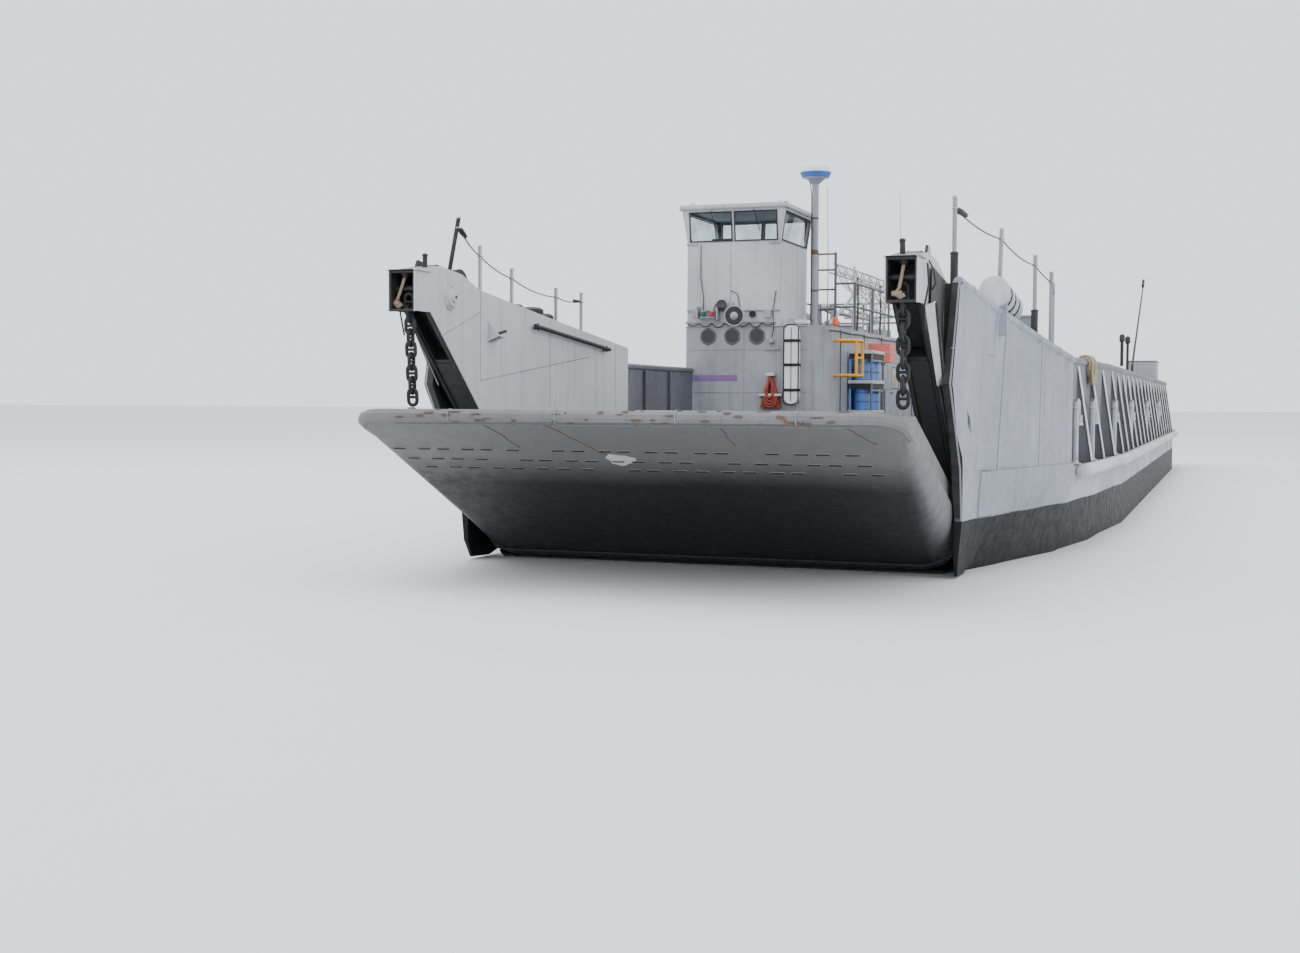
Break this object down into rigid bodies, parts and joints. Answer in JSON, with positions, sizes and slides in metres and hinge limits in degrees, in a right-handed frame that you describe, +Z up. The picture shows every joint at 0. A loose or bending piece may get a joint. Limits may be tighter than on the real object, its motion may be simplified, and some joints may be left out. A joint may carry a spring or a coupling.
{
  "type": "military landing craft, 1:2 scale model",
  "caption": "Shallow grey utility landing craft with a hinged bow ramp between raised bow bulwarks, an open load deck, a side deckhouse with a pilothouse, and screws in nozzles.",
  "frame": {"origin": "middle of the craft's length and beam, at the level of its flat bottom", "axes": "+X to port, +Y aft towards the stern, -Y forward over the bow ramp, +Z up"},
  "size_m": [4.5962, 21.0196, 4.048],
  "materials": {
    "haze_paint": "weathered matt",
    "light_paint": "weathered matt",
    "underwater_paint": "matt",
    "bronze": "satin",
    "window_glass": "clear",
    "white_paint": "satin",
    "black_paint": "matt",
    "chain_steel": "dull",
    "yellow_paint": "satin",
    "blue_plastic": "matt",
    "red_paint": "matt",
    "fender_rubber": "matt",
    "rope_fibre": "matt"
  },
  "bodies": {
    "craft": {"hull": "haze_paint", "bow_bulwark_port": "haze_paint", "bow_bulwark_starboard": "haze_paint", "side_bulwark_port": "haze_paint", "side_bulwark_starboard_forward": "haze_paint", "side_bulwark_starboard_aft": "haze_paint", "deckhouse": "haze_paint", "pilothouse": "haze_paint", "pilothouse_roof": "haze_paint", "mast_foot": "haze_paint", "mast_crutch": "haze_paint", "signal_lamps": "haze_paint", "stern_locker": "haze_paint", "guard_pipe_port": "light_paint", "guard_pipe_starboard": "light_paint", "roof_rail": "light_paint", "loud_hailer": "light_paint", "locker_grey": "light_paint", "nozzle_port": "underwater_paint", "nozzle_starboard": "underwater_paint", "pilothouse_windows": "window_glass", "satellite_dome": "white_paint", "rescue_litter": "white_paint", "house_ladder": "black_paint", "stern_anchor": "black_paint", "ramp_chain_port": "chain_steel", "ramp_chain_starboard": "chain_steel", "stern_winch": "chain_steel", "yellow_frame": "yellow_paint", "drum_rack": "blue_plastic", "hose_rack": "red_paint", "locker_red": "red_paint", "fender_starboard": "fender_rubber", "rope_coil": "rope_fibre"},
    "bow_ramp": {"bow_ramp": "haze_paint"},
    "stern_gate": {"stern_gate": "haze_paint"},
    "screw_port": {"screw_port": "bronze"},
    "screw_starboard": {"screw_starboard": "bronze"},
    "rudder_port": {"rudder_port": "underwater_paint"},
    "rudder_starboard": {"rudder_starboard": "underwater_paint"},
    "deckhouse_door": {"deckhouse_door": "haze_paint"},
    "pilothouse_door": {"pilothouse_door": "haze_paint"},
    "hatch_lid_port": {"hatch_lid_port": "haze_paint"},
    "hatch_lid_starboard": {"hatch_lid_starboard": "haze_paint"},
    "mast": {"mast": "light_paint"}
  },
  "joints": [
    {"name": "ramp_hinge", "type": "hinge", "parent": "craft", "child": "bow_ramp", "pos_m": [0, -8.71021, 0.83], "axis": [-1, 0, 0], "range_deg": [-36, 20.5], "deforming": ["ramp_chain_port", "ramp_chain_starboard"]},
    {"name": "stern_gate_hinge", "type": "hinge", "parent": "craft", "child": "stern_gate", "pos_m": [0, 10.24479, 1.19], "axis": [-1, 0, 0], "range_deg": [0, 95]},
    {"name": "mast_hinge", "type": "hinge", "parent": "craft", "child": "mast", "pos_m": [-1.1, -1.27021, 2.6], "axis": [1, 0, 0], "range_deg": [0, 90]},
    {"name": "deckhouse_door_hinge", "type": "hinge", "parent": "craft", "child": "deckhouse_door", "pos_m": [-0.65215, -0.27021, 1.66], "axis": [0, 0, -1], "range_deg": [0, 120]},
    {"name": "pilothouse_door_hinge", "type": "hinge", "parent": "craft", "child": "pilothouse_door", "pos_m": [-1.525, -1.89861, 2.74], "axis": [0, 0, 1], "range_deg": [0, 120]},
    {"name": "screw_port_spin", "type": "hinge", "parent": "craft", "child": "screw_port", "pos_m": [0.95, 8.07979, 0.3275], "axis": [0, 1, 0], "continuous": true},
    {"name": "rudder_port_turn", "type": "hinge", "parent": "craft", "child": "rudder_port", "pos_m": [0.95, 9.12979, 0.3425], "axis": [0, 0, 1], "range_deg": [-35, 35]},
    {"name": "hatch_lid_port_hinge", "type": "hinge", "parent": "craft", "child": "hatch_lid_port", "pos_m": [1.65, 6.28979, 1.2825], "axis": [-1, 0, 0], "range_deg": [0, 100]},
    {"name": "screw_starboard_spin", "type": "hinge", "parent": "craft", "child": "screw_starboard", "pos_m": [-0.95, 8.07979, 0.3275], "axis": [0, 1, 0], "continuous": true},
    {"name": "rudder_starboard_turn", "type": "hinge", "parent": "craft", "child": "rudder_starboard", "pos_m": [-0.95, 9.12979, 0.3425], "axis": [0, 0, 1], "range_deg": [-35, 35]},
    {"name": "hatch_lid_starboard_hinge", "type": "hinge", "parent": "craft", "child": "hatch_lid_starboard", "pos_m": [-1.65, 6.28979, 1.2825], "axis": [-1, 0, 0], "range_deg": [0, 100]}
  ],
  "couplings": [
    {"joint": "rudder_starboard_turn", "follows": "rudder_port_turn", "ratio": 1}
  ]
}
